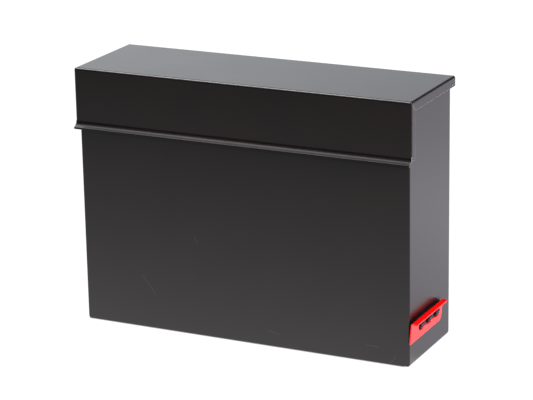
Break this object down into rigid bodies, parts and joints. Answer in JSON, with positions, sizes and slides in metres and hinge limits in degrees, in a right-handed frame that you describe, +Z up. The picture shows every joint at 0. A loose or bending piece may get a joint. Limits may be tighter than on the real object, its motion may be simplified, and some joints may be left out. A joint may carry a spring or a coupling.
{
  "type": "parcel drop box",
  "caption": "Wall-mounted sheet-steel drop box for letters and small parcels, with a hinged lid and deep front apron, a floor door, and a side lever latch with number dials.",
  "frame": {"origin": "underside of the bottom front flange, halfway across the body: the surface that the box stands on", "axes": "+X to the right (latch side), +Y to the rear (wall side), +Z up"},
  "size_m": [0.417, 0.1341, 0.2993],
  "materials": {
    "powder_coat": "fine-textured satin powder coat, near-black anthracite",
    "red_paint": "smooth satin red coating",
    "case_plastic": "moulded black plastic",
    "dial_plastic": "satin black moulded dials",
    "rod_steel": "blackened steel rod",
    "zinc_steel": "zinc plated",
    "rivet_steel": "plain blind-rivet steel",
    "rubber": "matt black rubber",
    "nylon": "black nylon"
  },
  "bodies": {
    "box": {"body_shell": "powder_coat", "back_panel": "powder_coat", "panel_rivet_left_1": "rivet_steel", "panel_rivet_left_2": "rivet_steel", "panel_rivet_left_3": "rivet_steel", "panel_rivet_right_1": "rivet_steel", "panel_rivet_right_2": "rivet_steel", "panel_rivet_right_3": "rivet_steel", "wall_spacer_left_lower": "rubber", "wall_spacer_left_upper": "rubber", "wall_spacer_right_lower": "rubber", "wall_spacer_right_upper": "rubber", "lid_bumper_left": "rubber", "lid_bumper_right": "rubber", "lid_hinge_rod": "rod_steel", "lid_hinge_washer_left": "nylon", "lid_hinge_washer_right": "nylon", "door_hinge_rod": "rod_steel", "door_hinge_lug_left": "zinc_steel", "door_hinge_lug_right": "zinc_steel", "latch_lever_pin": "rod_steel", "latch_case": "case_plastic", "latch_dial_axle": "zinc_steel"},
    "lid": {"lid_shell": "powder_coat"},
    "door": {"bottom_door": "powder_coat", "door_keeper": "zinc_steel"},
    "lever": {"latch_lever": "red_paint"},
    "bolt": {"latch_bolt": "zinc_steel"},
    "dial_1": {"latch_dial_1": "dial_plastic"},
    "dial_2": {"latch_dial_2": "dial_plastic"},
    "dial_3": {"latch_dial_3": "dial_plastic"}
  },
  "joints": [
    {"name": "lid_hinge", "type": "hinge", "parent": "box", "child": "lid", "pos_m": [0, 0.1041, 0.2919], "axis": [-1, 0, 0], "range_deg": [0, 90]},
    {"name": "door_hinge", "type": "hinge", "parent": "box", "child": "door", "pos_m": [0, 0.0903, 0.0036], "axis": [1, 0, 0], "range_deg": [0, 95]},
    {"name": "lever_pull", "type": "hinge", "parent": "box", "child": "lever", "pos_m": [0.197, 0.0312, 0.0249], "axis": [0, 1, 0], "range_deg": [-3.5, 14]},
    {"name": "bolt_slide", "type": "slide", "parent": "box", "child": "bolt", "axis": [1, 0, 0], "range_m": [-0.001, 0.0037]},
    {"name": "dial_1_turn", "type": "hinge", "parent": "box", "child": "dial_1", "pos_m": [0.2003, 0.02, 0.0412], "axis": [0, 1, 0], "continuous": true},
    {"name": "dial_2_turn", "type": "hinge", "parent": "box", "child": "dial_2", "pos_m": [0.2003, 0.0424, 0.0412], "axis": [0, 1, 0], "continuous": true},
    {"name": "dial_3_turn", "type": "hinge", "parent": "box", "child": "dial_3", "pos_m": [0.2003, 0.0647, 0.0412], "axis": [0, 1, 0], "continuous": true}
  ],
  "couplings": [
    {"joint": "bolt_slide", "follows": "lever_pull", "m_per_rad": 0.015}
  ]
}
